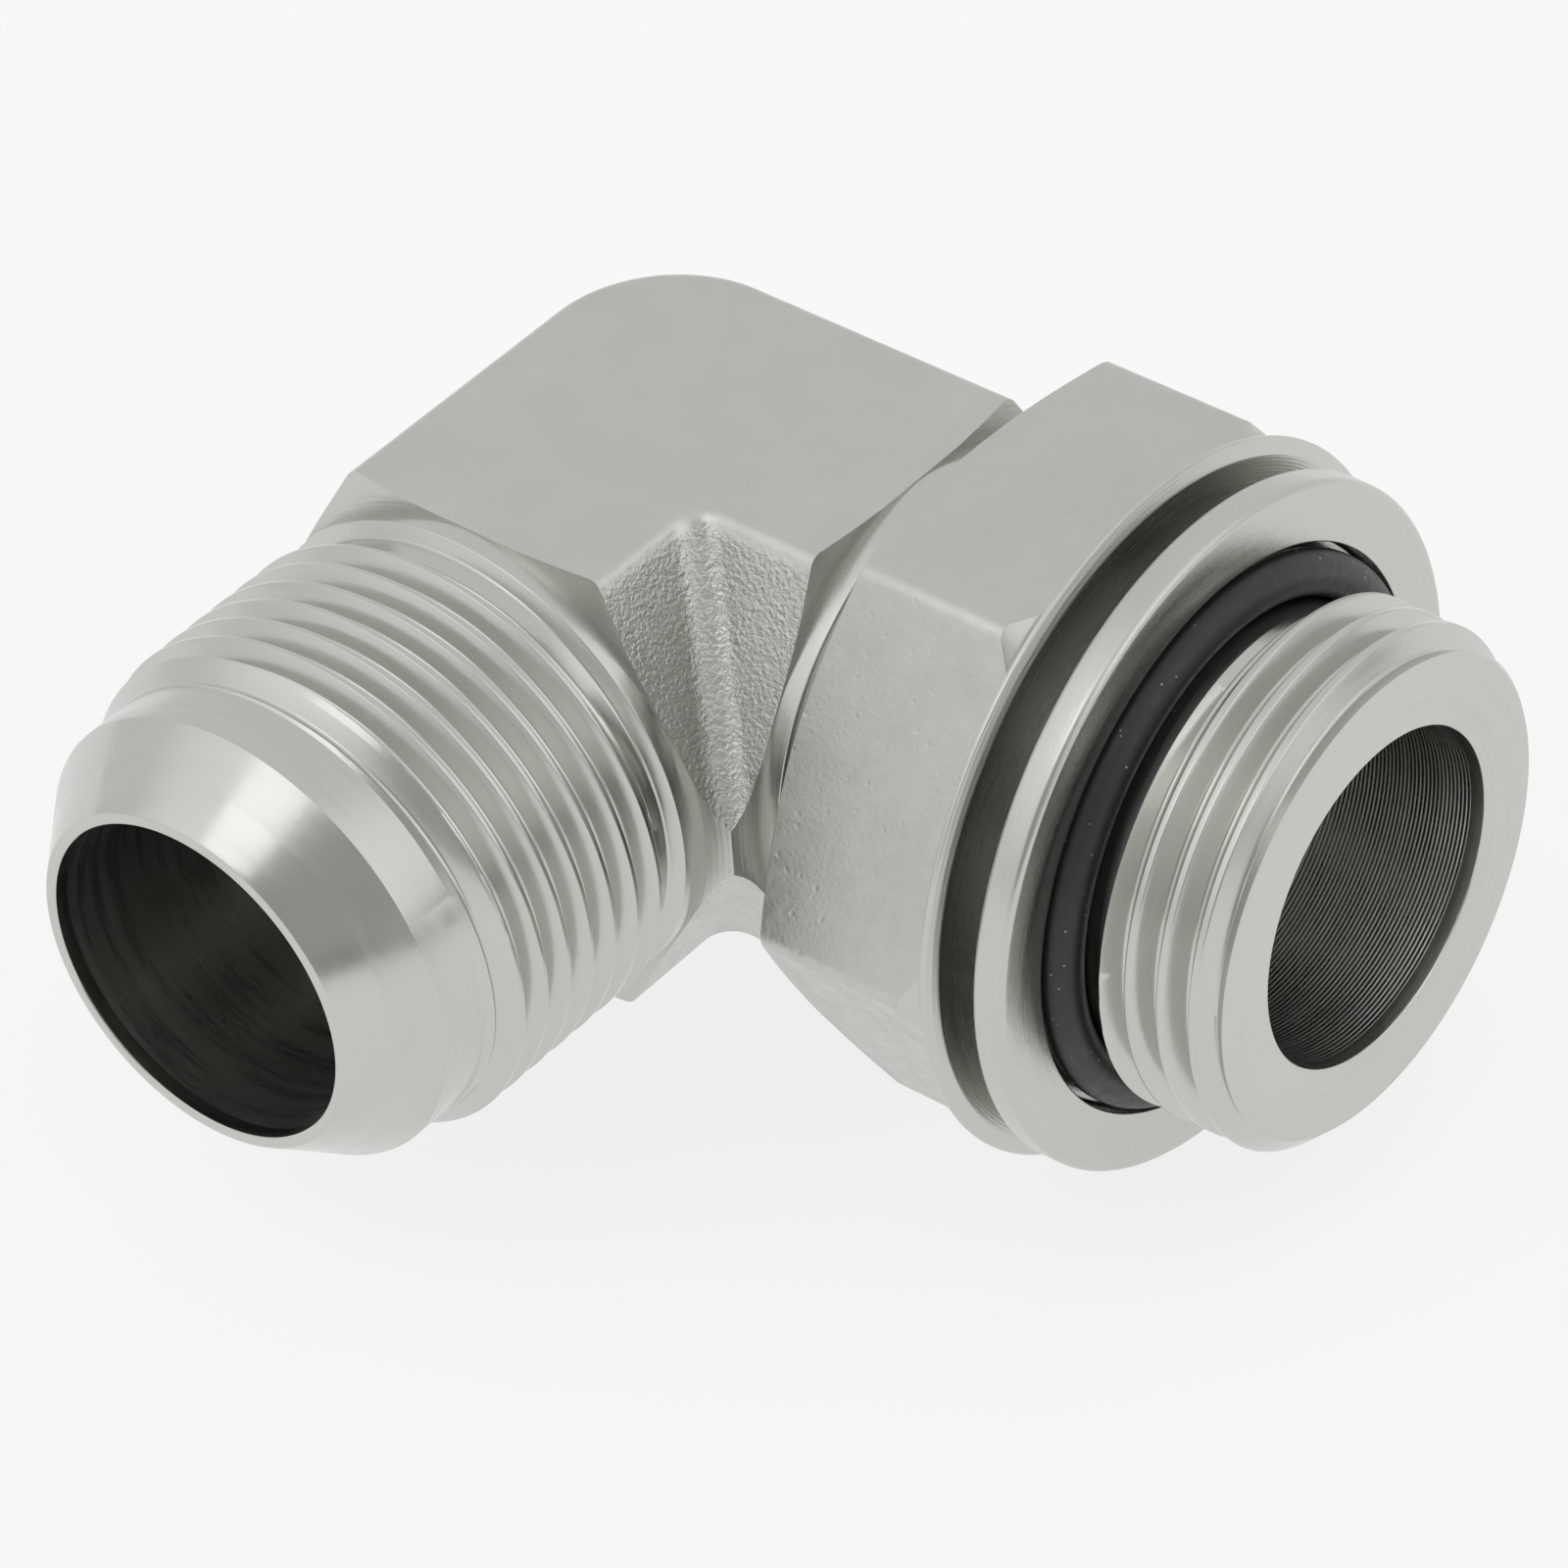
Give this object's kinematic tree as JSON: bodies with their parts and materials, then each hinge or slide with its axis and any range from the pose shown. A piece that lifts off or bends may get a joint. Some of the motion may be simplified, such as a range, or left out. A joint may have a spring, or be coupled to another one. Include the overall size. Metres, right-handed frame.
{
  "type": "elbow adapter",
  "caption": "Forged 90 degree pipe elbow adapter with a 37 degree flare thread on one leg and an adjustable parallel-thread stud with lock nut and seal on the other.",
  "frame": {"origin": "where the axes of the two legs cross", "axes": "+X along the adjustable stud leg, -Y along the flare leg, +Z out of the flat of the block"},
  "size_m": [0.0715, 0.0695, 0.046],
  "materials": {
    "body_steel": "plated forging, blasted on the block and turned on both legs",
    "nut_steel": "plated hexagon with dull flats and turned ends",
    "ring_steel": "plated and tumbled smooth",
    "seal_rubber": "black, slightly glossy"
  },
  "bodies": {
    "elbow": {"elbow_body": "body_steel"},
    "ring": {"retaining_ring": "ring_steel", "o_ring": "seal_rubber"},
    "nut": {"lock_nut": "nut_steel"}
  },
  "joints": [
    {"name": "ring_slide", "type": "slide", "parent": "elbow", "child": "ring", "axis": [1, 0, 0], "range_m": [-0.0017, 0.0012]},
    {"name": "nut_turn", "type": "hinge", "parent": "ring", "child": "nut", "pos_m": [0.03, 0, 0], "axis": [1, 0, 0], "range_deg": [-264.9, 187]}
  ],
  "couplings": [
    {"joint": "ring_slide", "follows": "nut_turn", "m_per_rad": 0.00036749}
  ]
}
